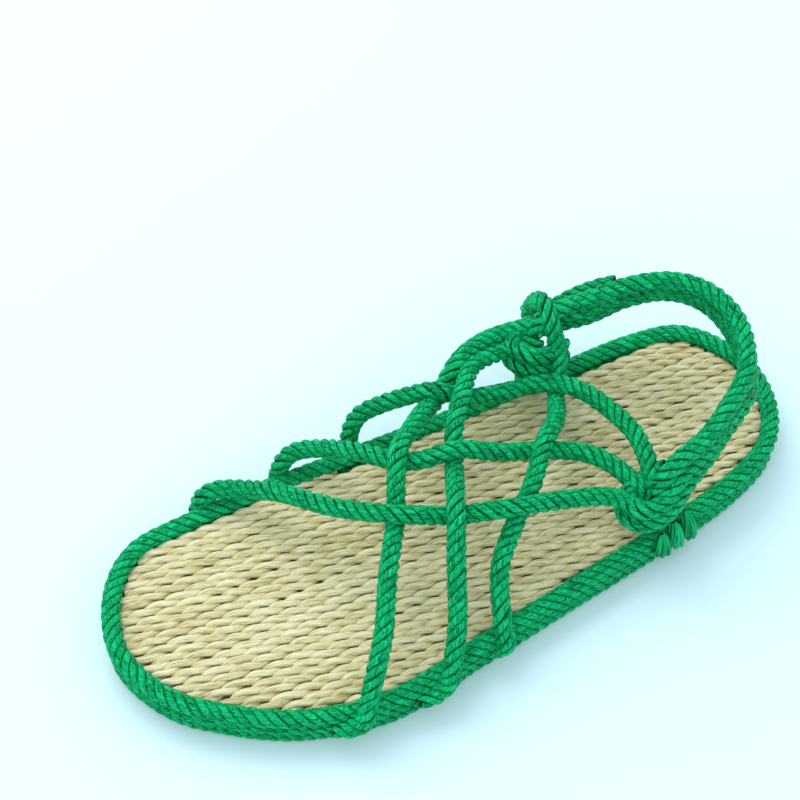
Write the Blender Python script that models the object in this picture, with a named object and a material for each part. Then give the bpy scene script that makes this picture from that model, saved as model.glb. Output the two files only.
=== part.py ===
"""Left rope sandal: a straw cord footbed, three rounds of green rope as its edge, six
crossing straps and a heel strap of three ropes, all of one laid rope.

Metres, +Z up. The toe points along -Y and the inner (big toe) side is -X. The origin is
on the underside, on the sole's long axis, half way from toe to heel.
"""

import math

import bmesh
import bpy
from mathutils import Vector

# Driving dimensions, metres
SOLE_LENGTH = 0.260
BALL_WIDTH = 0.101
ROPE = 0.0066
ROUND_PITCH = 0.0052
ROUND_INSET = 0.0003
CORD_SPACING = 0.0040
CORD_RELIEF = 0.0009
FOOTBED_THICKNESS = 0.0045
INSTEP_HEIGHT = 0.036
BAND_PITCH = 0.0058
LASHING_WIDTH = 0.0054
LASHING_TOP_WIDTH = 0.0032
LASHING_THICKNESS = 0.0024
LASHING_SPACING = 0.0060
HOOK_LENGTH = 0.012
GAP = 0.0003

SIDES = 8
INNER, OUTER = -1, 1

# A strap's start lies along the edge between the two upper rounds, then climbs over the top
# one: share of its length still to go, and its place in rope diameters, outwards and up
HOOK_TURN = ((1.0, 0.62, -0.40), (0.5, 0.72, -0.36), (0.12, 0.72, 0.15))
HOOK_TOP = 0.80

# How far a strap's centre lies from the crossing's middle, as a share of the rope
LAP = 0.48

# Heights that follow from the sizes
ROUND_HALF_HEIGHT = (ROUND_PITCH - GAP) / 2
ROUND_LEVELS = [ROUND_HALF_HEIGHT + ROUND_PITCH * i for i in range(3)]
FOOT_LEVEL = ROUND_LEVELS[2]
SOLE_THICKNESS = FOOT_LEVEL - FOOTBED_THICKNESS - GAP
EDGE_HALF_WIDTH = (BALL_WIDTH - ROPE) / 2

# The edge rope's centre line: share of the way from toe to heel, then the half widths on
# the inner and the outer side, as shares of EDGE_HALF_WIDTH
EDGE_OUTLINE = (
    (0.030, 0.67, 0.29),
    (0.082, 0.91, 0.58),
    (0.165, 0.95, 0.88),
    (0.283, 0.94, 1.06),
    (0.421, 0.89, 0.99),
    (0.579, 0.84, 0.90),
    (0.737, 0.82, 0.81),
    (0.875, 0.79, 0.68),
    (0.946, 0.69, 0.52),
    (0.985, 0.42, 0.25),
)
TOE_TIP_ACROSS = -0.19
HEEL_TIP_ACROSS = -0.11

# Where a strap from the outer edge crosses one from the inner edge, both counted from the
# toe: along and across the sole, height, and the side whose strap lies on top
CROSSINGS = {
    (1, 1): (0.388, 0.10, 0.80, INNER),
    (2, 1): (0.462, 0.24, 0.82, OUTER),
    (3, 1): (0.536, 0.41, 0.72, INNER),
    (1, 2): (0.436, -0.31, 0.85, OUTER),
    (2, 2): (0.505, -0.17, 0.78, INNER),
    (3, 2): (0.622, 0.02, 0.68, OUTER),
    (1, 3): (0.537, -0.71, 0.67, INNER),
    (2, 3): (0.570, -0.62, 0.70, OUTER),
    (3, 3): (0.704, -0.48, 0.39, INNER),
}

# Each strap from its edge to its knot: its side, where it climbs over the edge, its hook as a
# share of HOOK_LENGTH, how far out it tops the edge in rope diameters, and its route.
# A row of three is a place (along, across, height); a row of two names a crossing.
# Along is a share of SOLE_LENGTH, across of half BALL_WIDTH, height of INSTEP_HEIGHT.
STRAP_ROUTES = (
    (OUTER, 0.257, 1.00, 0.10, (
        (0.270, 0.92, 0.31), (0.303, 0.74, 0.53), (0.348, 0.385, 0.71), (1, 1), (1, 2),
        (0.464, -0.44, 0.84), (0.503, -0.59, 0.76), (1, 3), (0.570, -0.80, 0.75),
        (0.600, -0.89, 0.75), (0.644, -0.95, 0.71), (0.676, -0.95, 0.68),
    )),
    (OUTER, 0.372, 1.15, 0.40, (
        (0.387, 0.93, 0.27), (0.402, 0.82, 0.38), (0.430, 0.54, 0.65), (2, 1), (2, 2),
        (0.526, -0.36, 0.79), (2, 3), (0.602, -0.79, 0.72), (0.648, -0.84, 0.64),
        (0.676, -0.84, 0.59),
    )),
    (OUTER, 0.457, 0.35, 0.17, (
        (0.461, 0.88, 0.28), (0.468, 0.79, 0.35), (0.484, 0.64, 0.50), (3, 1), (0.574, 0.27, 0.71),
        (3, 2), (0.662, -0.16, 0.58), (3, 3), (0.719, -0.59, 0.46), (0.727, -0.68, 0.60),
        (0.726, -0.75, 0.80), (0.727, -0.84, 0.94), (0.730, -0.94, 0.95),
        (0.733, -1.05, 0.78), (0.731, -1.12, 0.50),
    )),
    (INNER, 0.203, 0.30, 0.60, (
        (0.224, -0.95, 0.20), (0.252, -0.85, 0.25), (0.290, -0.56, 0.52), (0.330, -0.22, 0.71),
        (1, 1), (2, 1), (0.499, 0.34, 0.80), (3, 1), (0.617, 0.49, 0.67),
        (0.664, 0.57, 0.59), (0.694, 0.67, 0.44),
    )),
    (INNER, 0.320, 0.30, 0.60, (
        (0.339, -0.95, 0.26), (0.371, -0.83, 0.38), (0.405, -0.54, 0.66), (1, 2), (0.466, -0.22, 0.80),
        (2, 2), (0.558, -0.05, 0.76), (3, 2), (0.671, 0.18, 0.59), (0.696, 0.38, 0.56),
        (0.706, 0.58, 0.50), (0.708, 0.68, 0.40),
    )),
    (INNER, 0.424, 0.30, 0.85, (
        (0.443, -0.97, 0.34), (0.471, -0.91, 0.49), (0.505, -0.82, 0.63), (1, 3), (2, 3),
        (0.602, -0.61, 0.52), (0.635, -0.60, 0.45), (0.668, -0.57, 0.45), (3, 3),
        (0.724, -0.29, 0.55), (0.739, -0.02, 0.58), (0.743, 0.20, 0.61), (0.736, 0.40, 0.61),
        (0.727, 0.56, 0.57), (0.718, 0.67, 0.50),
    )),
)

# The strap, counted from 0, whose end wraps the inner knot
WRAPPING_STRAP = 2

# The heel strap's middle rope from the outer knot round the heel to the inner one, and in
# the last column how many degrees the three ropes lean inwards there
HEEL_ROUTE = (
    (0.797, 0.61, 0.75, 8), (0.845, 0.50, 0.85, 5), (0.903, 0.32, 0.95, 12), (0.931, -0.04, 1.02, 6),
    (0.923, -0.34, 1.08, 15), (0.892, -0.56, 1.07, 19), (0.838, -0.71, 0.98, 14), (0.792, -0.80, 0.81, 6),
)

# The rope's free end, laid along the outside of the heel strap
ROPE_END_ROUTE = ((0.750, -0.95, 0.73), (0.777, -0.93, 0.82), (0.808, -0.89, 0.89), (0.836, -0.84, 0.93))

# Side knots: each heel strap rope in rope diameters from the knot's place on the edge,
# as (towards the heel, outwards, up). Two ropes turn round the straps, the third dives in.
# KNOT_SEAT moves a side's knot outwards, outwards for each unit of height, up, and up for
# each unit towards the toe.
KNOT_ALONG = {INNER: 0.703, OUTER: 0.717}
KNOT_SEAT = {INNER: (0.60, 0.20, 0.90, 0.30), OUTER: (-0.10, 0.0, 0.35, 0.0)}
KNOT_TURNS = (
    ((1.5, -0.2, 2.8), (0.45, 0.27, 2.1), (-0.6, 0.32, 1.67), (-1.32, -0.1, 1.5), (-1.5, -0.8, 1.5),
     (-1.2, -1.47, 1.5), (-0.45, -1.85, 1.45), (0.6, -1.85, 1.5), (1.5, -1.55, 2.1)),
    ((1.5, -0.55, 3.65), (0.45, 0.0, 2.97), (-0.45, 0.12, 2.6), (-1.12, -0.2, 2.45), (-1.32, -0.8, 2.42),
     (-1.05, -1.42, 2.42), (-0.35, -1.78, 2.38), (0.7, -1.8, 2.45), (1.5, -1.6, 3.0)),
    ((1.5, -0.9, 4.45), (0.6, -0.7, 3.8), (0.1, -0.8, 3.0)),
)

# Lashings, counted from the heel end: how far out and down each one's top lies, and the
# height of the tops under each side's knot in rope diameters
LASHING_APEX = ((0.0, 0.0), (0.0012, 0.0006), (0.0020, 0.0014))
LASHING_TOP = {INNER: 2.05, OUTER: 1.0}

GREEN = ("green_rope", (0.010, 0.380, 0.115), 0.45)
STRAW = ("straw_cord", (0.570, 0.480, 0.245), 0.80)


def material(look):
    name, colour, roughness = look
    made = bpy.data.materials.get(name)
    if made is None:
        made = bpy.data.materials.new(name)
        made.use_nodes = True
        shader = made.node_tree.nodes["Principled BSDF"]
        shader.inputs["Base Color"].default_value = (*colour, 1.0)
        shader.inputs["Roughness"].default_value = roughness
        shader.inputs["Metallic"].default_value = 0.0
    return made


def place(along, across, height):
    """The point at these shares of the sandal's length, half width and instep height."""
    return Vector((
        across * BALL_WIDTH / 2,
        (along - 0.5) * SOLE_LENGTH,
        FOOT_LEVEL + height * INSTEP_HEIGHT,
    ))


def smooth_path(points, closed=False, per_span=12):
    """Many points of the smooth curve (centripetal Catmull-Rom) through the given ones."""
    count = len(points)
    if closed:
        around = [points[(i - 1) % count] for i in range(count + 3)]
    else:
        around = [2 * points[0] - points[1], *points, 2 * points[-1] - points[-2]]
    path = []
    for p0, p1, p2, p3 in zip(around, around[1:], around[2:], around[3:]):
        t1 = math.sqrt((p1 - p0).length)
        t2 = t1 + math.sqrt((p2 - p1).length)
        t3 = t2 + math.sqrt((p3 - p2).length)
        for step in range(per_span):
            t = t1 + (t2 - t1) * step / per_span
            a1 = p0.lerp(p1, t / t1)
            a2 = p1.lerp(p2, (t - t1) / (t2 - t1))
            a3 = p2.lerp(p3, (t - t2) / (t3 - t2))
            path.append(a1.lerp(a2, t / t2).lerp(a2.lerp(a3, (t - t1) / (t3 - t1)), (t - t1) / (t2 - t1)))
    return path if closed else [*path, points[-1].copy()]


def relaxed(path, step=0.15 * ROPE, passes=10):
    """An open path at equal steps with its tight bends eased, as a rope eases them."""
    even = [path[0]]
    for here in path[1:]:
        while (here - even[-1]).length >= step:
            even.append(even[-1] + (here - even[-1]).normalized() * step)
    even.append(path[-1])
    for _ in range(passes):
        inner = [(a + 2 * b + c) / 4 for a, b, c in zip(even, even[1:], even[2:])]
        even = [even[0], *inner, even[-1]]
    return even


def thinned(path, closed=False, longest=1.67 * ROPE, turn=math.radians(20)):
    """The path with only the points that its bends need."""
    kept = [path[0]]
    heading = (path[1] - path[0]).normalized()
    for here, after in zip(path[1:], path[2:]):
        onward = (after - here).normalized()
        if (here - kept[-1]).length > longest or onward.angle(heading) > turn:
            kept.append(here)
            heading = onward
    if not closed:
        last = path[-1]
        if (last - kept[-1]).length < longest / 4:
            kept.pop()
        kept.append(last)
    return kept


def tangents(path, closed):
    count = len(path)
    if closed:
        return [(path[(i + 1) % count] - path[i - 1]).normalized() for i in range(count)]
    return [(path[min(i + 1, count - 1)] - path[max(i - 1, 0)]).normalized() for i in range(count)]


def tube(name, path, across, up, look, closed=False, flat=False, spread=1.0):
    """A rope as a closed tube: `across` and `up` are its half sizes, with `flat` its section
    stays upright, and by the path's end it is `spread` times as wide."""
    mesh = bmesh.new()
    rings = []
    normal = Vector((0, 0, 1))
    for i, (point, tangent) in enumerate(zip(path, tangents(path, closed))):
        wide = across * (1 + (spread - 1) * i / (len(path) - 1))
        normal = Vector((0, 0, 1)) if flat else normal
        normal = (normal - normal.dot(tangent) * tangent).normalized()
        side = tangent.cross(normal)
        rings.append([
            mesh.verts.new(
                point
                + side * wide * math.cos(2 * math.pi * (k + 0.5) / SIDES)
                + normal * up * math.sin(2 * math.pi * (k + 0.5) / SIDES)
            )
            for k in range(SIDES)
        ])
    if closed:
        rings.append(rings[0])
    else:
        mesh.faces.new(rings[0])
        mesh.faces.new(list(reversed(rings[-1])))
    for ring, following in zip(rings, rings[1:]):
        for k in range(SIDES):
            after = (k + 1) % SIDES
            mesh.faces.new((ring[k], following[k], following[after], ring[after]))
    return finished(name, mesh, look)


def finished(name, mesh, look):
    bmesh.ops.recalc_face_normals(mesh, faces=mesh.faces)
    data = bpy.data.meshes.new(name)
    mesh.to_mesh(data)
    mesh.free()
    data.shade_smooth()
    data.set_sharp_from_angle(angle=math.radians(60))
    data.materials.append(material(look))
    made = bpy.data.objects.new(name, data)
    bpy.context.collection.objects.link(made)
    return made


def helper(made):
    """A piece that only joins or cuts another one."""
    made.hide_render = True
    made.display_type = "WIRE"
    return made


def boolean(target, other, operation):
    modifier = target.modifiers.new(operation.lower() + "_" + other.name, "BOOLEAN")
    modifier.operation = operation
    modifier.solver = "EXACT"
    modifier.use_self = operation == "UNION"
    modifier.object = helper(other)


# The sole


def edge_points(inset=0.0):
    """The edge rope's centre line as points round the sole, moved inwards by `inset`."""
    reach = SOLE_LENGTH - ROPE
    rows = [(along, -inner, outer) for along, inner, outer in EDGE_OUTLINE]
    rounds = [(0.0, TOE_TIP_ACROSS)]
    rounds += [(along, outer) for along, _, outer in rows]
    rounds += [(1.0, HEEL_TIP_ACROSS)]
    rounds += [(along, inner) for along, inner, _ in reversed(rows)]
    corners = [Vector((across * EDGE_HALF_WIDTH, (along - 0.5) * reach, 0)) for along, across in rounds]
    line = smooth_path(corners, closed=True)
    if not inset:
        return line
    inward = [Vector((0, 0, 1)).cross(tangent) for tangent in tangents(line, True)]
    return [point + normal * inset for point, normal in zip(line, inward)]


def plate(name, outline, low, high, look):
    """A flat solid with this outline between two levels."""
    mesh = bmesh.new()
    face = mesh.faces.new([mesh.verts.new((p.x, p.y, low)) for p in outline])
    raised = bmesh.ops.extrude_face_region(mesh, geom=[face])["geom"]
    bmesh.ops.translate(
        mesh, vec=(0, 0, high - low), verts=[v for v in raised if isinstance(v, bmesh.types.BMVert)]
    )
    return finished(name, mesh, look)


def cord_sheet(name, low, high):
    """A sheet wider than the sole, its top in ridges that run from toe to heel."""
    rows = math.ceil(BALL_WIDTH / CORD_SPACING) + 1
    reach = SOLE_LENGTH
    profile = []
    for row in range(rows):
        left = (row - rows / 2) * CORD_SPACING
        profile += [(left, high - CORD_RELIEF), (left + CORD_SPACING * 0.3, high), (left + CORD_SPACING * 0.7, high)]
    profile += [(rows / 2 * CORD_SPACING, low), (-rows / 2 * CORD_SPACING, low)]
    mesh = bmesh.new()
    face = mesh.faces.new([mesh.verts.new((x, -reach, z)) for x, z in profile])
    pushed = bmesh.ops.extrude_face_region(mesh, geom=[face])["geom"]
    bmesh.ops.translate(
        mesh, vec=(0, 2 * reach, 0), verts=[v for v in pushed if isinstance(v, bmesh.types.BMVert)]
    )
    return finished(name, mesh, STRAW)


def edge_rope(name, number, room=0.0):
    """One round of the edge rope, counted from the bottom."""
    line = thinned(edge_points(ROUND_INSET * (2 - number)), closed=True)
    line = [Vector((p.x, p.y, ROUND_LEVELS[number])) for p in line]
    return tube(name, line, ROPE / 2 + room, ROUND_HALF_HEIGHT + room, GREEN, closed=True, flat=True)


def build_sole():
    for number, name in enumerate(("bottom", "middle", "top")):
        edge_rope("edge_rope_" + name, number)
    inside = thinned(edge_points(ROPE / 2 + 2 * ROUND_INSET + GAP), closed=True)
    plate("sole", inside, 0.0, SOLE_THICKNESS, STRAW)
    inside = thinned(edge_points(ROPE / 2 + ROUND_INSET + GAP), closed=True)
    low = SOLE_THICKNESS + GAP
    footbed = plate("footbed", inside, low, FOOT_LEVEL + ROPE, STRAW)
    boolean(footbed, cord_sheet("footbed_cords", low, FOOT_LEVEL), "INTERSECT")


# The straps


def edge_place(along, side):
    """The top edge rope's centre at this share of the length, and its outward direction."""
    line = edge_points()
    target = (along - 0.5) * SOLE_LENGTH
    for here, after in zip(line, line[1:] + line[:1]):
        if here.x * side > 0 and (here.y - target) * (after.y - target) <= 0:
            break
    at = here.lerp(after, (target - here.y) / (after.y - here.y))
    outward = (after - here).normalized().cross(Vector((0, 0, 1)))
    return Vector((at.x, at.y, FOOT_LEVEL)), outward


def hook(side, along, share, top_out):
    """A strap's start: tucked between the two upper rounds, then up and over the top one."""
    points = []
    for back, out, up in (*HOOK_TURN, (0.0, top_out, HOOK_TOP)):
        start, outward = edge_place(along - back * share * HOOK_LENGTH / SOLE_LENGTH, side)
        points.append(start + (outward * out + Vector((0, 0, up))) * ROPE)
    return points


def strap_path(side, edge_along, hook_share, top_out, route):
    points = hook(side, edge_along, hook_share, top_out)
    for row in route:
        if len(row) == 3:
            points.append(place(*row))
            continue
        along, across, height, on_top = CROSSINGS[row]
        lap = LAP * ROPE * (1 if on_top == side else -1)
        points.append(place(along, across, height) + Vector((0, 0, lap)))
    return relaxed(smooth_path(points))


def knot_points(side, rope):
    """One heel strap rope's turn at a side knot, from the heel strap inwards."""
    anchor, outward = edge_place(KNOT_ALONG[side], side)
    base, slope, lift, tilt = KNOT_SEAT[side]
    points = []
    for back, out, up in KNOT_TURNS[rope]:
        out += base + slope * up
        points.append(anchor + (outward * out + Vector((0, back, up + lift - tilt * back))) * ROPE)
    return points


def heel_rope_path(rope):
    """The whole run of one heel strap rope, from knot to knot."""
    middle = [place(*row[:3]) for row in HEEL_ROUTE]
    shift = (rope - 1) * BAND_PITCH
    band = []
    for point, tangent, row in zip(middle, tangents(middle, False), HEEL_ROUTE):
        inward = Vector((0, 0, 1)).cross(tangent).normalized()
        lean = math.radians(row[3])
        band.append(point + shift * (inward * math.sin(lean) + Vector((0, 0, math.cos(lean)))))
    return relaxed(smooth_path([*reversed(knot_points(OUTER, rope)), *band, *knot_points(INNER, rope)]))


def build_heel_strap(name, radius):
    ropes = [
        tube(f"{name}_rope_{rope}" if rope else name, thinned(heel_rope_path(rope)), radius, radius, GREEN)
        for rope in range(3)
    ]
    end = smooth_path([place(*row) for row in ROPE_END_ROUTE])
    ropes.append(tube(name + "_end", thinned(end), radius, radius, GREEN))
    for other in ropes[1:]:
        boolean(ropes[0], other, "UNION")
    boolean(ropes[0], bpy.data.objects["wrap_clearance"], "DIFFERENCE")
    return ropes[0]


def build_wrap_clearance():
    """Room in the heel strap for the strap that wraps the inner knot."""
    path = thinned(strap_path(*STRAP_ROUTES[WRAPPING_STRAP]))
    helper(tube("wrap_clearance", path, ROPE / 2 + GAP, ROPE / 2 + GAP, GREEN))


def build_straps():
    straps = []
    for number, row in enumerate(STRAP_ROUTES):
        name = f"strap_{number + 1}" if number else "cross_straps"
        straps.append(tube(name, thinned(strap_path(*row)), ROPE / 2, ROPE / 2, GREEN))
    for other in straps[1:]:
        boolean(straps[0], other, "UNION")
    for number in (1, 2):
        boolean(straps[0], edge_rope(f"edge_clearance_{number}", number, GAP), "DIFFERENCE")
    boolean(straps[0], build_heel_strap("heel_strap_clearance", ROPE / 2 + GAP), "DIFFERENCE")


def lashing(name, along, side, number):
    """A flat fan that spreads from its top under the knot down over the edge rounds."""
    start, outward = edge_place(along, side)
    half = LASHING_THICKNESS / 2
    reach = ROPE / 2 + GAP + half
    apex_out, apex_down = LASHING_APEX[number]
    section = (
        (0.15 * reach + apex_out, LASHING_TOP[side] * ROPE - apex_down), (0.75 * reach, 0.8 * reach),
        (1.07 * reach, 0.0), (1.09 * reach, -ROUND_PITCH), (1.06 * reach, -1.5 * ROUND_PITCH),
    )
    path = thinned(smooth_path([start + outward * out + Vector((0, 0, up)) for out, up in section]))
    spread = LASHING_WIDTH / LASHING_TOP_WIDTH
    return tube(name, path, LASHING_TOP_WIDTH / 2, half, GREEN, spread=spread)


def build_lashings():
    for side, word in ((OUTER, "outer"), (INNER, "inner")):
        for number in range(3):
            along = KNOT_ALONG[side] + (1.8 - number) * LASHING_SPACING / SOLE_LENGTH
            made = lashing(f"lashing_{word}_{number + 1}", along, side, number)
            for clearance in ("heel_strap_clearance", "wrap_clearance"):
                boolean(made, bpy.data.objects[clearance], "DIFFERENCE")


for old in list(bpy.data.objects):
    bpy.data.objects.remove(old, do_unlink=True)
build_sole()
build_wrap_clearance()
build_heel_strap("heel_strap", ROPE / 2)
build_straps()
build_lashings()
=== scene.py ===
"""The looks of the left rope sandal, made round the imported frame: straw cord footbed, laid green
rope edge, crossing straps, heel strap and lashings, on a pale studio floor."""

import math
import random

import bmesh
import bpy
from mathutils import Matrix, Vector


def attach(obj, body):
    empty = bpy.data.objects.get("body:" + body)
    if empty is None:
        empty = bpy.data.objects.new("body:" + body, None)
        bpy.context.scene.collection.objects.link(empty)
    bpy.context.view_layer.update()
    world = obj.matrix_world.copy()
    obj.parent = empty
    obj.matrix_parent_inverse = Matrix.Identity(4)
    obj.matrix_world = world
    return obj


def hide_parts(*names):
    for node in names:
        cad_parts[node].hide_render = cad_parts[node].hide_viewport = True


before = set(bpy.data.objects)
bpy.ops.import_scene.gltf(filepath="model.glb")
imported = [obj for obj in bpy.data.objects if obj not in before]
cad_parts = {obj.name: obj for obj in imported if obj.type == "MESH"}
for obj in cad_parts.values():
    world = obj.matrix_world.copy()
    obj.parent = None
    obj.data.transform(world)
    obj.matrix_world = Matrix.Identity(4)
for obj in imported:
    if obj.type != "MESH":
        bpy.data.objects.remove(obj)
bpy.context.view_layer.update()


# Sole: the straw pad under the foot and over the floor. One long two-ply straw cord is laid in
# rows from toe to heel, and it turns down over both ends and comes back along the underside.


class Wire:
    """A socket of a node tree. Arithmetic on it adds Math nodes, and `add` adds any other node."""

    def __init__(self, socket):
        self.socket = socket

    @classmethod
    def add(cls, tree, kind, settings=None, inputs=(), output=None):
        """Adds a node, sets it up, then gives its sockets values or links, by name or in order."""
        node = tree.nodes.new(kind)
        for name, value in (settings or {}).items():
            if name == "stops":
                ramp = node.color_ramp.elements
                for _ in value[2:]:
                    ramp.new(0.5)
                for stop, (position, colour) in zip(ramp, value):
                    stop.position = position
                    stop.color = (*colour, 1.0)
            else:
                setattr(node, name, value)
        live = [socket for socket in node.inputs if socket.enabled]
        if not isinstance(inputs, dict):
            inputs = dict(enumerate(inputs))
        for key, value in inputs.items():
            socket = live[key] if isinstance(key, int) else next(s for s in live if s.name == key)
            if isinstance(value, Wire):
                tree.links.new(value.socket, socket)
            else:
                socket.default_value = value
        outputs = [socket for socket in node.outputs if socket.enabled]
        return cls(next((s for s in outputs if s.name == output), outputs[0]) if outputs else None)

    def other(self, output):
        """Another output of the node that this socket belongs to."""
        return Wire(next(s for s in self.socket.node.outputs if s.enabled and s.name == output))

    def math(self, operation, *values):
        return Wire.add(self.socket.id_data, "ShaderNodeMath", {"operation": operation}, values)

    def __add__(self, value):
        return self.math("ADD", self, value)

    def __mul__(self, value):
        return self.math("MULTIPLY", self, value)

    def __sub__(self, value):
        return self.math("SUBTRACT", self, value)

    def __rsub__(self, value):
        return self.math("SUBTRACT", value, self)

    def __truediv__(self, value):
        return self.math("DIVIDE", self, value)

    __radd__ = __add__
    __rmul__ = __mul__


def vector_math(first, operation, second):
    """A Vector Math node on two vectors, or on a vector and a number."""
    inputs = {"Vector": first, "Scale": second} if operation == "SCALE" else (first, second)
    return Wire.add(first.socket.id_data, "ShaderNodeVectorMath", {"operation": operation}, inputs)


def laid_rope_tree():
    """Geometry Nodes that lay strands round every edge chain of a mesh: its points carry `size`,
    the rope's thickness there as a share, and `turn`, where its strands start. The result
    carries `fibre`, the place across and along the fibres in metres, `crest`, 1 on the rope's
    outside and less in its grooves, and `shade`, a number from 0 to 1 for each strand."""
    tree = bpy.data.node_groups.new("laid_rope", "GeometryNodeTree")
    for name, kind in (
        ("Route", "Geometry"), ("Diameter", "Float"), ("Lay", "Float"), ("Strands", "Int"),
        ("Strand size", "Float"), ("Step", "Float"), ("Sides", "Int"), ("Pressed", "Float"),
        ("Unevenness", "Float"), ("Along strand", "Float"), ("Seed", "Int"), ("Finish", "Material"),
    ):
        tree.interface.new_socket(name, in_out="INPUT", socket_type="NodeSocket" + kind)
    tree.interface.new_socket("Rope", in_out="OUTPUT", socket_type="NodeSocketGeometry")
    given = Wire.add(tree, "NodeGroupInput").other

    def node(kind, settings=None, inputs=(), output=None):
        return Wire.add(tree, kind, settings, inputs, output)

    def stored(geometry, name, value, kind="FLOAT", domain="POINT"):
        return node(
            "GeometryNodeStoreNamedAttribute", {"data_type": kind, "domain": domain},
            {"Geometry": geometry, "Name": name, "Value": value},
        )

    def named(name, kind="FLOAT"):
        return node("GeometryNodeInputNamedAttribute", {"data_type": kind}, {"Name": name}, "Attribute")

    line = node("GeometryNodeMeshToCurve", None, (given("Route"),))
    line = node("GeometryNodeResampleCurve", {"mode": "LENGTH"}, {"Curve": line, "Length": given("Step")})
    line = stored(line, "row", node("GeometryNodeInputIndex"), "INT", "CURVE")
    line = stored(line, "along", node("GeometryNodeSplineParameter", output="Length"))
    line = stored(line, "middle", node("GeometryNodeInputPosition"), "FLOAT_VECTOR")
    normal = node("GeometryNodeInputNormal")
    side = vector_math(node("GeometryNodeInputTangent"), "CROSS_PRODUCT", normal)
    line = stored(line, "normal", normal, "FLOAT_VECTOR")
    line = stored(line, "side", side, "FLOAT_VECTOR")
    copies = node(
        "GeometryNodeDuplicateElements", {"domain": "SPLINE"}, {"Geometry": line, "Amount": given("Strands")}
    )
    strand = copies.other("Duplicate Index")
    shade = node(
        "FunctionNodeRandomValue", {"data_type": "FLOAT"},
        {"ID": named("row", "INT") * 7 + strand, "Seed": given("Seed")},
    )
    line = stored(copies, "shade", shade, "FLOAT", "CURVE")

    uneven = node(
        "ShaderNodeTexNoise", None,
        {"Vector": named("middle", "FLOAT_VECTOR"), "Scale": 55.0, "Detail": 1.0},
    )
    angle = named("along") / given("Lay") + strand / given("Strands") + named("turn")
    angle = (angle + (uneven - 0.5) * given("Unevenness")) * math.tau
    reach = given("Diameter") * 0.5 * (1 - given("Strand size")) * named("size")
    across = vector_math(named("normal", "FLOAT_VECTOR"), "SCALE", reach * angle.math("COSINE", angle))
    beside = vector_math(named("side", "FLOAT_VECTOR"), "SCALE", reach * angle.math("SINE", angle))
    line = node(
        "GeometryNodeSetPosition", None, {"Geometry": line, "Offset": vector_math(across, "ADD", beside)}
    )

    radius = given("Diameter") * 0.5 * given("Strand size")
    ring = node(
        "GeometryNodeCurvePrimitiveCircle", {"mode": "RADIUS"},
        {"Resolution": given("Sides"), "Radius": radius},
    )
    ring = stored(ring, "ring", node("GeometryNodeInputPosition"), "FLOAT_VECTOR")
    tube = node(
        "GeometryNodeCurveToMesh", None,
        {"Curve": line, "Profile Curve": ring, "Scale": named("size"), "Fill Caps": True},
    )
    offset = vector_math(node("GeometryNodeInputPosition"), "SUBTRACT", named("middle", "FLOAT_VECTOR"))
    axial = node(
        "ShaderNodeCombineXYZ", None,
        (
            vector_math(offset, "DOT_PRODUCT", named("normal", "FLOAT_VECTOR")).other("Value"),
            vector_math(offset, "DOT_PRODUCT", named("side", "FLOAT_VECTOR")).other("Value"),
            0.0,
        ),
    )
    fibre = node(
        "ShaderNodeMix", {"data_type": "VECTOR"},
        {"Factor": given("Along strand"), "A": axial, "B": named("ring", "FLOAT_VECTOR")},
    )
    start = node("ShaderNodeCombineXYZ", None, (named("shade") * 0.1, named("shade") * 0.1, named("along")))
    tube = stored(tube, "fibre", vector_math(fibre, "ADD", start), "FLOAT_VECTOR")
    square = vector_math(offset, "DOT_PRODUCT", offset).other("Value")
    # The finishes read crest to paint shade into the grooves: darker where it is low, lighter on the crests.
    tube = stored(tube, "crest", square.math("SQRT", square) / (given("Diameter") * 0.5 * named("size")))
    squashed = node("ShaderNodeCombineXYZ", None, (1.0, 1.0, given("Pressed")))
    place = vector_math(vector_math(offset, "MULTIPLY", squashed), "ADD", named("middle", "FLOAT_VECTOR"))
    tube = node("GeometryNodeSetPosition", None, {"Geometry": tube, "Position": place})
    for name in ("row", "along", "middle", "normal", "side", "ring", "turn", "size"):
        tube = node("GeometryNodeRemoveAttribute", None, {"Geometry": tube, "Name": name})
    tube = node("GeometryNodeSetShadeSmooth", None, {"Geometry": tube})
    tube = node("GeometryNodeRealizeInstances", None, (tube,))
    tube = node("GeometryNodeSetMaterial", None, {"Geometry": tube, "Material": given("Finish")})
    Wire.add(tree, "NodeGroupOutput", None, (tube,))
    return tree


laid_rope = laid_rope_tree()


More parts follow.
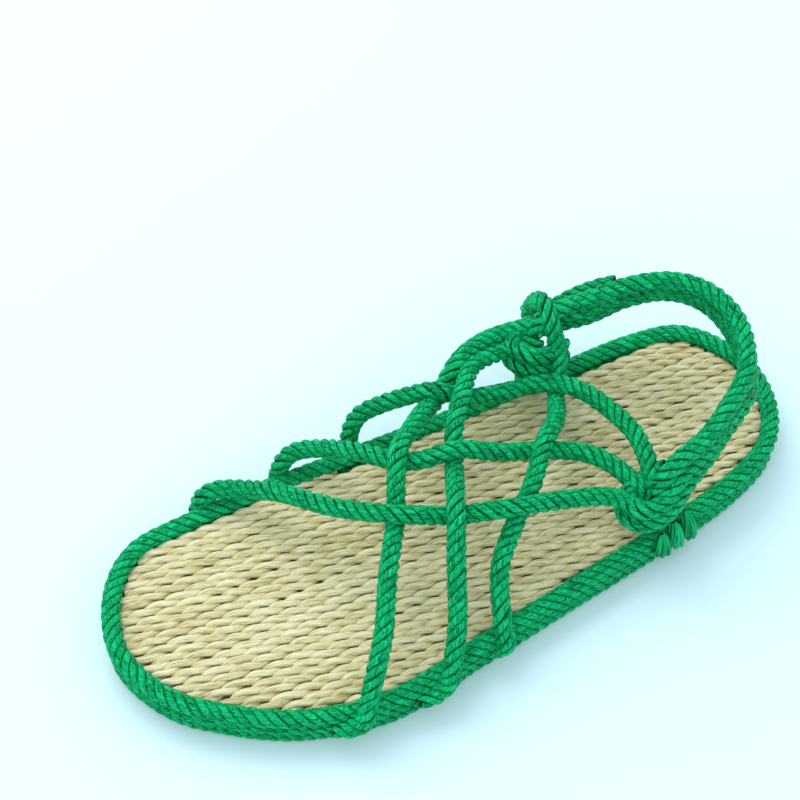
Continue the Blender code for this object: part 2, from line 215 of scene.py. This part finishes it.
def lay_rope(name, routes, finish, diameter, lay, strands=3, strand_size=0.56, step=0.0009, sides=10,
             pressed=1.0, unevenness=0.12, along_strand=0.0, seed=1):
    """A mesh of laid rope along each route: (points, size at each point, starting turn, closed)."""
    guide = bpy.data.meshes.new(name + "_route")
    points, edges, sizes, turns = [], [], [], []
    for line, size, turn, closed in routes:
        first = len(points)
        points += line
        sizes += size
        turns += [turn] * len(line)
        edges += [(first + i, first + i + 1) for i in range(len(line) - 1)]
        if closed:
            edges.append((len(points) - 1, first))
    guide.from_pydata(points, edges, [])
    guide.attributes.new("size", "FLOAT", "POINT").data.foreach_set("value", sizes)
    guide.attributes.new("turn", "FLOAT", "POINT").data.foreach_set("value", turns)
    carrier = bpy.data.objects.new(name + "_route", guide)
    bpy.context.collection.objects.link(carrier)
    modifier = carrier.modifiers.new("rope", "NODES")
    modifier.node_group = laid_rope
    values = {
        "Diameter": diameter, "Lay": lay, "Strands": strands, "Strand size": strand_size, "Step": step,
        "Sides": sides, "Pressed": pressed, "Unevenness": unevenness, "Along strand": along_strand,
        "Seed": seed, "Finish": finish,
    }
    for item in laid_rope.interface.items_tree:
        if item.in_out == "INPUT" and item.name in values:
            modifier[item.identifier] = values[item.name]
    carrier.update_tag()
    ready = carrier.evaluated_get(bpy.context.evaluated_depsgraph_get())
    mesh = bpy.data.meshes.new_from_object(ready)
    mesh.name = name
    made = bpy.data.objects.new(name, mesh)
    bpy.context.collection.objects.link(made)
    bpy.data.objects.remove(carrier)
    return made


def finished(piece, slot, *nodes):
    """Lets a piece ride with the sandal, in place of the frame's nodes that it stands for."""
    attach(piece, "root")
    for node in nodes:
        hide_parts(node)
    return piece


def smooth_path(points, closed=False, per_span=12):
    """Many points of the smooth curve (centripetal Catmull-Rom) through the given ones."""
    count = len(points)
    if closed:
        around = [points[(i - 1) % count] for i in range(count + 3)]
    else:
        around = [2 * points[0] - points[1], *points, 2 * points[-1] - points[-2]]
    path = []
    for p0, p1, p2, p3 in zip(around, around[1:], around[2:], around[3:]):
        t1 = math.sqrt((p1 - p0).length)
        t2 = t1 + math.sqrt((p2 - p1).length)
        t3 = t2 + math.sqrt((p3 - p2).length)
        for step in range(per_span):
            t = t1 + (t2 - t1) * step / per_span
            a1 = p0.lerp(p1, t / t1)
            a2 = p1.lerp(p2, (t - t1) / (t2 - t1))
            a3 = p2.lerp(p3, (t - t2) / (t3 - t2))
            path.append(a1.lerp(a2, t / t2).lerp(a2.lerp(a3, (t - t1) / (t3 - t1)), (t - t1) / (t2 - t1)))
    return path if closed else [*path, points[-1].copy()]


def tangents(path, closed=False):
    count = len(path)
    if closed:
        return [(path[(i + 1) % count] - path[i - 1]).normalized() for i in range(count)]
    return [(path[min(i + 1, count - 1)] - path[max(i - 1, 0)]).normalized() for i in range(count)]


UP = Vector((0, 0, 1))
SOLE_LENGTH = 0.260
BALL_WIDTH = 0.101
ROPE = 0.0066
ROUND_PITCH = 0.0052
GAP = 0.0003
ROUND_HALF_HEIGHT = (ROUND_PITCH - GAP) / 2
ROUND_LEVELS = [ROUND_HALF_HEIGHT + ROUND_PITCH * i for i in range(3)]
FOOT_LEVEL = ROUND_LEVELS[2]
EDGE_HALF_WIDTH = (BALL_WIDTH - ROPE) / 2
# The edge rope's centre line: along, then the half widths on the inner and the outer side
EDGE_OUTLINE = (
    (0.030, 0.67, 0.29),
    (0.082, 0.91, 0.58),
    (0.165, 0.95, 0.88),
    (0.283, 0.94, 1.06),
    (0.421, 0.89, 0.99),
    (0.579, 0.84, 0.90),
    (0.737, 0.82, 0.81),
    (0.875, 0.79, 0.68),
    (0.946, 0.69, 0.52),
    (0.985, 0.42, 0.25),
)
TOE_TIP_ACROSS = -0.19
HEEL_TIP_ACROSS = -0.11


def edge_points(inset=0.0):
    """The edge rope's centre line as points round the sole, moved inwards by `inset`."""
    reach = SOLE_LENGTH - ROPE
    rounds = [(0.0, TOE_TIP_ACROSS)]
    rounds += [(along, outer) for along, _, outer in EDGE_OUTLINE]
    rounds += [(1.0, HEEL_TIP_ACROSS)]
    rounds += [(along, -inner) for along, inner, _ in reversed(EDGE_OUTLINE)]
    corners = [Vector((across * EDGE_HALF_WIDTH, (along - 0.5) * reach, 0)) for along, across in rounds]
    line = smooth_path(corners, closed=True)
    inward = [UP.cross(tangent) for tangent in tangents(line, True)]
    return [point + normal * inset for point, normal in zip(line, inward)]


CORD_SPACING = 0.0040
CORD_LAY = 0.0144
# Each row's bumps lie this share of a lay beyond those of the row before it
CORD_STAGGER = 0.12
SHORTEST_ROW = 0.02
ROW_SWAY = 0.00025
ROW_BEND = 0.006


def straw_material():
    """Dry twisted straw: fine fibres along each ply, paler where worn, and painted shade that
    makes it olive in the grooves.
    """
    made = bpy.data.materials.new("straw_cord")
    made.use_nodes = True
    tree = made.node_tree
    shader = tree.nodes["Principled BSDF"]
    fibre = Wire.add(tree, "ShaderNodeAttribute", {"attribute_name": "fibre"}, output="Vector")
    shade = Wire.add(tree, "ShaderNodeAttribute", {"attribute_name": "shade"}, output="Fac")
    place = Wire.add(tree, "ShaderNodeTexCoord", output="Object")
    fine = Wire.add(
        tree, "ShaderNodeTexNoise", None,
        {"Vector": vector_math(fibre, "MULTIPLY", (3600, 3600, 260)), "Scale": 1.0, "Detail": 3.0},
    )
    broad = Wire.add(
        tree, "ShaderNodeTexNoise", None,
        {"Vector": vector_math(fibre, "MULTIPLY", (900, 900, 90)), "Scale": 1.0, "Detail": 2.0},
    )
    patch = Wire.add(tree, "ShaderNodeTexNoise", None, {"Vector": place, "Scale": 45.0, "Detail": 3.0})
    crest = Wire.add(tree, "ShaderNodeAttribute", {"attribute_name": "crest"}, output="Fac")
    # The crest term is painted shade: darker colour in the cord's grooves, lighter on its crests.
    tone = (fine - 0.5) * 1.6 + (broad - 0.5) * 0.8 + shade * 0.14 + patch * 0.30 + crest * 0.25 + 0.08
    colour = Wire.add(
        tree, "ShaderNodeValToRGB",
        {"stops": (
            (0.15, (0.400, 0.310, 0.110)), (0.36, (0.610, 0.520, 0.245)),
            (0.55, (0.760, 0.670, 0.380)), (0.82, (0.880, 0.810, 0.560)),
        )},
        (tone,), "Color",
    )
    tree.links.new(colour.socket, shader.inputs["Base Color"])
    roughness = fine * 0.2 + 0.62
    tree.links.new(roughness.socket, shader.inputs["Roughness"])
    bump = Wire.add(
        tree, "ShaderNodeBump", None,
        {"Strength": 0.9, "Distance": 0.0004, "Height": fine * 0.6 + broad * 0.7},
    )
    tree.links.new(bump.socket, shader.inputs["Normal"])
    return made


straw = straw_material()


def cord_rows(inset, level, turn_down, direction, seed):
    """The cord's rows from toe to heel inside the edge. At both ends they turn down by
    `turn_down` in the given direction."""
    outline = edge_points(inset)
    draw = random.Random(seed)
    routes = []
    count = math.ceil(BALL_WIDTH / CORD_SPACING)
    for row in range(-count // 2, count // 2 + 1):
        x = row * CORD_SPACING
        crossings = []
        for here, after in zip(outline, outline[1:] + outline[:1]):
            if (here.x - x) * (after.x - x) < 0:
                crossings.append(here.lerp(after, (x - here.x) / (after.x - here.x)).y)
        if len(crossings) < 2 or max(crossings) - min(crossings) < SHORTEST_ROW:
            continue
        toe, heel = min(crossings), max(crossings)
        line = []
        steps = 28
        for step in range(steps + 1):
            y = toe + (heel - toe) * step / steps
            sway = ROW_SWAY * math.sin(y * 90 + row * 1.7)
            fall = max(0.0, 1 - (y - toe) / ROW_BEND, 1 - (heel - y) / ROW_BEND)
            line.append(Vector((x + sway, y, level + direction * turn_down * fall**2)))
        turn = (toe / CORD_LAY - row * CORD_STAGGER + draw.uniform(-0.05, 0.05)) % 1.0
        routes.append((line, [1.0] * len(line), turn, False))
    return routes


def pad(name, inset, low, high):
    """The flat core that the cord rows lie on, inside the edge."""
    mesh = bmesh.new()
    face = mesh.faces.new([mesh.verts.new((p.x, p.y, low)) for p in edge_points(inset)])
    raised = bmesh.ops.extrude_face_region(mesh, geom=[face])["geom"]
    bmesh.ops.translate(
        mesh, vec=(0, 0, high - low), verts=[v for v in raised if isinstance(v, bmesh.types.BMVert)]
    )
    bmesh.ops.recalc_face_normals(mesh, faces=mesh.faces)
    data = bpy.data.meshes.new(name)
    mesh.to_mesh(data)
    mesh.free()
    data.materials.append(straw)
    made = bpy.data.objects.new(name, data)
    bpy.context.collection.objects.link(made)
    return made


CORD = 0.0047
CORD_PRESSED = 0.74
CORD_HALF_HEIGHT = CORD * CORD_PRESSED / 2
PAD_CLEARANCE = 0.0002
PAD_LOW = 0.0022
PAD_HIGH = FOOT_LEVEL - FOOT_LEVEL * 0.36


def straw_cord(name, routes, step, sides, seed, unevenness=0.12):
    """The two-ply cord laid along each route and pressed flat, with its fibres along the plies."""
    return lay_rope(
        name, routes, straw, CORD, CORD_LAY, strands=2, strand_size=0.57, step=step, sides=sides,
        pressed=CORD_PRESSED, unevenness=unevenness, along_strand=1.0, seed=seed,
    )


core = pad("sole_core", ROPE / 2 + PAD_CLEARANCE, PAD_LOW, PAD_HIGH)
finished(core, "straw_cord", "sole")
rows = cord_rows(0.0030, CORD_HALF_HEIGHT + 0.0001, 0.0008, 1, 5)
underside = straw_cord("underside_cords", rows, step=0.0017, sides=6, seed=5)
finished(underside, "straw_cord")


# Footbed: the top rows of the same straw cord, packed side by side and trodden a little flat.
# They end under the top edge rope all round.

rows = cord_rows(0.0026, FOOT_LEVEL - CORD_HALF_HEIGHT, 0.0014, -1, 3)
footbed = straw_cord("footbed_cords", rows, step=0.0010, sides=9, seed=3, unevenness=0.35)
finished(footbed, "straw_cord", "footbed")


# Edge: three rounds of green rope, four strands laid right-handed, sewn one on another round
# the pad. They are pressed a little flat by the stitching.

ROUND_INSET = 0.0003
ROPE_LAY = 0.0156
ROPE_STRANDS = 4
# The laid strands stand a little proud of the rope's nominal size
LAID_ROPE = 1.05 * ROPE
ROPE_STRAND = 0.40


def rope_material():
    """Silky green rope: shining fibres nearly in line with the rope, each strand a little its own,
    and painted shade that darkens the grooves between the strands.
    """
    made = bpy.data.materials.new("green_rope")
    made.use_nodes = True
    tree = made.node_tree
    shader = tree.nodes["Principled BSDF"]
    fibre = Wire.add(tree, "ShaderNodeAttribute", {"attribute_name": "fibre"}, output="Vector")
    shade = Wire.add(tree, "ShaderNodeAttribute", {"attribute_name": "shade"}, output="Fac")
    crest = Wire.add(tree, "ShaderNodeAttribute", {"attribute_name": "crest"}, output="Fac")
    fine = Wire.add(
        tree, "ShaderNodeTexNoise", None,
        {"Vector": vector_math(fibre, "MULTIPLY", (3000, 3000, 110)), "Scale": 1.0, "Detail": 3.0},
    )
    broad = Wire.add(
        tree, "ShaderNodeTexNoise", None,
        {"Vector": vector_math(fibre, "MULTIPLY", (1100, 1100, 60)), "Scale": 1.0, "Detail": 2.0},
    )
    # Painted shade: the colour darkens towards the grooves between the strands, where crest is low.
    groove_painted_shade = Wire.add(
        tree, "ShaderNodeMapRange", {"interpolation_type": "SMOOTHSTEP"},
        {"Value": crest, "From Min": 0.64, "From Max": 0.92, "To Min": -0.58, "To Max": 0.02},
    )
    tone = (fine - 0.5) * 1.7 + (broad - 0.5) * 0.8 + shade * 0.10 + groove_painted_shade + 0.47
    colour = Wire.add(
        tree, "ShaderNodeValToRGB",
        {"stops": (
            (0.10, (0.000, 0.035, 0.011)), (0.34, (0.000, 0.185, 0.054)),
            (0.56, (0.001, 0.385, 0.120)), (0.85, (0.012, 0.620, 0.235)),
        )},
        (tone,), "Color",
    )
    tree.links.new(colour.socket, shader.inputs["Base Color"])
    shader.inputs["Specular IOR Level"].default_value = 0.06
    roughness = 0.55 - fine * 0.18
    tree.links.new(roughness.socket, shader.inputs["Roughness"])
    bump = Wire.add(
        tree, "ShaderNodeBump", None,
        {"Strength": 1.0, "Distance": 0.0004, "Height": fine * 0.7 + broad * 0.5},
    )
    tree.links.new(bump.socket, shader.inputs["Normal"])
    return made


green = rope_material()


def green_rope(name, routes, seed, lay=ROPE_LAY, pressed=1.0):
    """The green rope laid along each route."""
    return lay_rope(
        name, routes, green, LAID_ROPE, lay, strands=ROPE_STRANDS, strand_size=ROPE_STRAND,
        pressed=pressed, seed=seed,
    )


for number, (word, level) in enumerate(zip(("bottom", "middle", "top"), ROUND_LEVELS)):
    line = [Vector((p.x, p.y, level)) for p in edge_points(ROUND_INSET * (2 - number))]
    around = sum((b - a).length for a, b in zip(line, line[1:] + line[:1]))
    edge = green_rope(
        f"edge_{word}", [(line, [1.0] * len(line), 0.21 * number, True)], 10 + number,
        lay=around / round(around / ROPE_LAY), pressed=2 * ROUND_HALF_HEIGHT / ROPE,
    )
    finished(edge, "green_rope", "edge_rope_" + word)


# Cross straps: six ropes, three from each edge, that go over and under each other across the
# foot. Each starts tucked between the two upper rounds and ends inside a side knot.

INNER, OUTER = -1, 1
INSTEP_HEIGHT = 0.036
HOOK_LENGTH = 0.012
# Share of the hook still to go, and its place in rope diameters, outwards and up
HOOK_TURN = ((1.0, 0.62, -0.40), (0.5, 0.72, -0.36), (0.12, 0.72, 0.15))
HOOK_TOP = 0.80
LAP = 0.48
# Where an outer and an inner strap cross: along, across, height, and the side that is on top
CROSSINGS = {
    (1, 1): (0.388, 0.10, 0.80, INNER),
    (2, 1): (0.462, 0.24, 0.82, OUTER),
    (3, 1): (0.536, 0.41, 0.72, INNER),
    (1, 2): (0.436, -0.31, 0.85, OUTER),
    (2, 2): (0.505, -0.17, 0.78, INNER),
    (3, 2): (0.622, 0.02, 0.68, OUTER),
    (1, 3): (0.537, -0.71, 0.67, INNER),
    (2, 3): (0.570, -0.62, 0.70, OUTER),
    (3, 3): (0.704, -0.48, 0.39, INNER),
}
# Side, place along the edge, share of HOOK_LENGTH, how far out it tops the edge, and route:
# (along, across, height), or the name of a crossing
STRAP_ROUTES = (
    (OUTER, 0.257, 1.00, 0.10, (
        (0.270, 0.92, 0.31), (0.303, 0.74, 0.53), (0.348, 0.385, 0.71), (1, 1), (1, 2),
        (0.464, -0.44, 0.84), (0.503, -0.59, 0.76), (1, 3), (0.570, -0.80, 0.75),
        (0.600, -0.89, 0.75), (0.644, -0.95, 0.71), (0.676, -0.95, 0.68),
    )),
    (OUTER, 0.372, 1.15, 0.40, (
        (0.387, 0.93, 0.27), (0.402, 0.82, 0.38), (0.430, 0.54, 0.65), (2, 1), (2, 2),
        (0.526, -0.36, 0.79), (2, 3), (0.602, -0.79, 0.72), (0.648, -0.84, 0.64),
        (0.676, -0.84, 0.59),
    )),
    (OUTER, 0.457, 0.35, 0.17, (
        (0.461, 0.88, 0.28), (0.468, 0.79, 0.35), (0.484, 0.64, 0.50), (3, 1), (0.574, 0.27, 0.71),
        (3, 2), (0.662, -0.16, 0.58), (3, 3), (0.719, -0.59, 0.46), (0.727, -0.68, 0.60),
        (0.726, -0.75, 0.80), (0.727, -0.84, 0.94), (0.730, -0.94, 0.95),
        (0.733, -1.05, 0.78), (0.731, -1.12, 0.50),
    )),
    (INNER, 0.203, 0.30, 0.60, (
        (0.224, -0.95, 0.20), (0.252, -0.85, 0.25), (0.290, -0.56, 0.52), (0.330, -0.22, 0.71),
        (1, 1), (2, 1), (0.499, 0.34, 0.80), (3, 1), (0.617, 0.49, 0.67),
        (0.664, 0.57, 0.59), (0.694, 0.67, 0.44),
    )),
    (INNER, 0.320, 0.30, 0.60, (
        (0.339, -0.95, 0.26), (0.371, -0.83, 0.38), (0.405, -0.54, 0.66), (1, 2), (0.466, -0.22, 0.80),
        (2, 2), (0.558, -0.05, 0.76), (3, 2), (0.671, 0.18, 0.59), (0.696, 0.38, 0.56),
        (0.706, 0.58, 0.50), (0.708, 0.68, 0.40),
    )),
    (INNER, 0.424, 0.30, 0.85, (
        (0.443, -0.97, 0.34), (0.471, -0.91, 0.49), (0.505, -0.82, 0.63), (1, 3), (2, 3),
        (0.602, -0.61, 0.52), (0.635, -0.60, 0.45), (0.668, -0.57, 0.45), (3, 3),
        (0.724, -0.29, 0.55), (0.739, -0.02, 0.58), (0.743, 0.20, 0.61), (0.736, 0.40, 0.61),
        (0.727, 0.56, 0.57), (0.718, 0.67, 0.50),
    )),
)
# Where the ends of the first two straps go on inside the inner knot
TUCKED_ENDS = {
    0: ((0.694, -0.92, 0.71), (0.714, -0.87, 0.72)),
    1: ((0.692, -0.82, 0.62), (0.712, -0.80, 0.64)),
}


def place(along, across, height):
    """The point at these shares of the sandal's length, half width and instep height."""
    return Vector((
        across * BALL_WIDTH / 2,
        (along - 0.5) * SOLE_LENGTH,
        FOOT_LEVEL + height * INSTEP_HEIGHT,
    ))


def relaxed(path, step=0.15 * ROPE, passes=10):
    """An open path at equal steps with its tight bends eased, as a rope eases them."""
    even = [path[0]]
    for here in path[1:]:
        while (here - even[-1]).length >= step:
            even.append(even[-1] + (here - even[-1]).normalized() * step)
    even.append(path[-1])
    for _ in range(passes):
        inner = [(a + 2 * b + c) / 4 for a, b, c in zip(even, even[1:], even[2:])]
        even = [even[0], *inner, even[-1]]
    return even


def edge_place(along, side):
    """The top edge rope's centre at this share of the length, and its outward direction."""
    line = edge_points()
    target = (along - 0.5) * SOLE_LENGTH
    for here, after in zip(line, line[1:] + line[:1]):
        if here.x * side > 0 and (here.y - target) * (after.y - target) <= 0:
            break
    at = here.lerp(after, (target - here.y) / (after.y - here.y))
    outward = (after - here).normalized().cross(UP)
    return Vector((at.x, at.y, FOOT_LEVEL)), outward


def hook(side, along, share, top_out):
    """A strap's start: tucked between the two upper rounds, then up and over the top one."""
    points = []
    for back, out, up in (*HOOK_TURN, (0.0, top_out, HOOK_TOP)):
        start, outward = edge_place(along - back * share * HOOK_LENGTH / SOLE_LENGTH, side)
        points.append(start + (outward * out + UP * up) * ROPE)
    return points


def strap_path(side, edge_along, hook_share, top_out, route):
    points = hook(side, edge_along, hook_share, top_out)
    for row in route:
        if len(row) == 3:
            points.append(place(*row))
            continue
        along, across, height, on_top = CROSSINGS[row]
        lap = LAP * ROPE * (1 if on_top == side else -1)
        points.append(place(along, across, height) + UP * lap)
    return relaxed(smooth_path(points))


routes = []
for number, row in enumerate(STRAP_ROUTES):
    path = strap_path(*row[:-1], row[-1] + TUCKED_ENDS.get(number, ()))
    sizes = [min(1.0, 0.7 + 0.06 * i) for i in range(len(path))]
    routes.append((path, sizes, 0.17 * number, False))
straps = green_rope("cross_strap_ropes", routes, 20)
finished(straps, "green_rope", "cross_straps")


# Heel strap: three ropes side by side round the heel. At each side two of them turn round the
# bundle of cross straps and the third dives into it, and the rope's free end lies outside.

BAND_PITCH = 0.0058
# The middle rope's route round the heel, and how many degrees the three ropes lean inwards
HEEL_ROUTE = (
    (0.797, 0.61, 0.75, 8), (0.845, 0.50, 0.85, 5), (0.903, 0.32, 0.95, 12), (0.931, -0.04, 1.02, 6),
    (0.923, -0.34, 1.08, 15), (0.892, -0.56, 1.07, 19), (0.838, -0.71, 0.98, 14), (0.792, -0.80, 0.81, 6),
)
ROPE_END_ROUTE = ((0.750, -0.95, 0.73), (0.777, -0.93, 0.82), (0.808, -0.89, 0.89), (0.836, -0.84, 0.93))
KNOT_ALONG = {INNER: 0.703, OUTER: 0.717}
KNOT_SEAT = {INNER: (0.60, 0.20, 0.90, 0.30), OUTER: (-0.10, 0.0, 0.35, 0.0)}
# Each rope's turn at a knot in rope diameters: towards the heel, outwards, up
KNOT_TURNS = (
    ((1.5, -0.2, 2.8), (0.45, 0.27, 2.1), (-0.6, 0.32, 1.67), (-1.32, -0.1, 1.5), (-1.5, -0.8, 1.5),
     (-1.2, -1.47, 1.5), (-0.45, -1.85, 1.45), (0.6, -1.85, 1.5), (1.5, -1.55, 2.1)),
    ((1.5, -0.55, 3.65), (0.45, 0.0, 2.97), (-0.45, 0.12, 2.6), (-1.12, -0.2, 2.45), (-1.32, -0.8, 2.42),
     (-1.05, -1.42, 2.42), (-0.35, -1.78, 2.38), (0.7, -1.8, 2.45), (1.5, -1.6, 3.0)),
    ((1.5, -0.9, 4.45), (0.6, -0.7, 3.8), (0.1, -0.8, 3.0)),
)


def knot_points(side, rope):
    """One heel strap rope's turn at a side knot, from the heel strap inwards."""
    anchor, outward = edge_place(KNOT_ALONG[side], side)
    base, slope, lift, tilt = KNOT_SEAT[side]
    points = []
    for back, out, up in KNOT_TURNS[rope]:
        out += base + slope * up
        points.append(anchor + (outward * out + Vector((0, back, up + lift - tilt * back))) * ROPE)
    return points


def heel_rope_path(rope):
    """The whole run of one heel strap rope, from knot to knot."""
    middle = [place(*row[:3]) for row in HEEL_ROUTE]
    shift = (rope - 1) * BAND_PITCH
    band = []
    for point, tangent, row in zip(middle, tangents(middle), HEEL_ROUTE):
        inward = UP.cross(tangent).normalized()
        lean = math.radians(row[3])
        band.append(point + shift * (inward * math.sin(lean) + UP * math.cos(lean)))
    return relaxed(smooth_path([*reversed(knot_points(OUTER, rope)), *band, *knot_points(INNER, rope)]))


routes = []
for rope in range(3):
    path = heel_rope_path(rope)
    routes.append((path, [1.0] * len(path), 0.31 * rope, False))
end = smooth_path([place(*row) for row in ROPE_END_ROUTE])
routes.append((end, [1.0] * len(end), 0.4, False))
heel = green_rope("heel_strap_ropes", routes, 30)
finished(heel, "green_rope", "heel_strap")


# Lashings: at each side knot three fans of smooth unlaid strands bind the knot down to the edge
# ropes. Each fan has three flat legs from one top.

LASHING_STRANDS = 0.0034
LASHING_LAY = 0.060
LASHING_THICKNESS = 0.0024
LASHING_SPACING = 0.0060
LASHING_APEX = ((0.0, 0.0), (0.0012, 0.0006), (0.0020, 0.0014))
LASHING_TOP = {INNER: 2.05, OUTER: 1.0}
# The legs of a fan: how far its foot lies towards the heel, and how far down it goes
LASHING_LEGS = ((0.0030, 1.0), (0.0002, 0.88), (-0.0028, 0.66))


def lashing_leg(along, side, number, shift, drop):
    """The path of one leg from the fan's top, down over the edge rounds."""
    start, outward = edge_place(along, side)
    reach = ROPE / 2 + GAP + LASHING_THICKNESS / 2
    apex_out, apex_down = LASHING_APEX[number]
    section = (
        (0.15 * reach + apex_out, LASHING_TOP[side] * ROPE - apex_down), (0.75 * reach, 0.8 * reach),
        (1.04 * reach, 0.0), (1.04 * reach, -ROUND_PITCH), (0.98 * reach, -1.5 * ROUND_PITCH),
    )
    path = smooth_path([start + outward * out + UP * up for out, up in section])
    path = path[: round(drop * len(path))]
    heelwards = -UP.cross(outward)
    heelwards = heelwards if heelwards.y > 0 else -heelwards
    return [p + heelwards * shift * (i / len(path)) for i, p in enumerate(path)]


for side, word in ((OUTER, "outer"), (INNER, "inner")):
    for number in range(3):
        along = KNOT_ALONG[side] + (1.8 - number) * LASHING_SPACING / SOLE_LENGTH
        routes = []
        for shift, drop in LASHING_LEGS:
            path = lashing_leg(along, side, number, shift, drop)
            shares = [i / len(path) for i in range(len(path))]
            sizes = [min(1.0, 0.75 + share, 3.35 - 3.0 * share) for share in shares]
            routes.append((path, sizes, 0.0, False))
        lashing = lay_rope(
            f"lashing_strands_{word}_{number + 1}", routes, green, LASHING_STRANDS, LASHING_LAY,
            strand_size=0.62, step=0.0008, sides=8, along_strand=0.6, seed=40 + number,
        )
        finished(lashing, "green_rope", f"lashing_{word}_{number + 1}")


# Studio: a pale floor under soft light from above and behind, and the camera at the
# photograph's angle.

FLOOR_REACH = 3.0
floor_mesh = bpy.data.meshes.new("floor")
floor_mesh.from_pydata(
    [(x * FLOOR_REACH, y * FLOOR_REACH, 0) for x, y in ((-1, -1), (1, -1), (1, 1), (-1, 1))],
    [],
    [(0, 1, 2, 3)],
)
floor_finish = bpy.data.materials.new("pale_floor")
floor_finish.use_nodes = True
floor_shader = floor_finish.node_tree.nodes["Principled BSDF"]
floor_shader.inputs["Base Color"].default_value = (0.74, 0.92, 0.97, 1.0)
floor_shader.inputs["Roughness"].default_value = 0.9
floor_mesh.materials.append(floor_finish)
floor = bpy.data.objects.new("floor", floor_mesh)
bpy.context.collection.objects.link(floor)

world = bpy.data.worlds.new("studio")
world.use_nodes = True
world.node_tree.nodes["Background"].inputs["Color"].default_value = (0.80, 0.92, 1.0, 1.0)
world.node_tree.nodes["Background"].inputs["Strength"].default_value = 1.06
bpy.context.scene.world = world
bpy.context.scene.view_settings.view_transform = "Standard"


def soft_light(name, position, size, power, colour):
    """A square area light that faces the sandal."""
    data = bpy.data.lights.new(name, "AREA")
    data.size = size
    data.energy = power
    data.color = colour
    light = bpy.data.objects.new(name, data)
    light.location = position
    light.rotation_euler = Vector(position).to_track_quat("Z", "Y").to_euler()
    bpy.context.collection.objects.link(light)


soft_light("key", (-0.75, -0.10, 1.15), 0.9, 7.5, (1.0, 0.985, 0.96))
soft_light("fill", (0.9, -0.9, 1.1), 1.2, 3.0, (0.93, 0.97, 1.0))

camera_data = bpy.data.cameras.new("camera")
camera_data.sensor_fit = "HORIZONTAL"
camera_data.angle = math.radians(24.0)
camera = bpy.data.objects.new("camera", camera_data)
camera.location = (0.3005, -0.1893, 0.5717)
CAMERA_LOOK = Vector((-0.5154, 0.2826, -0.8090))
camera.rotation_euler = CAMERA_LOOK.to_track_quat("-Z", "Y").to_euler()
bpy.context.collection.objects.link(camera)
bpy.context.scene.camera = camera
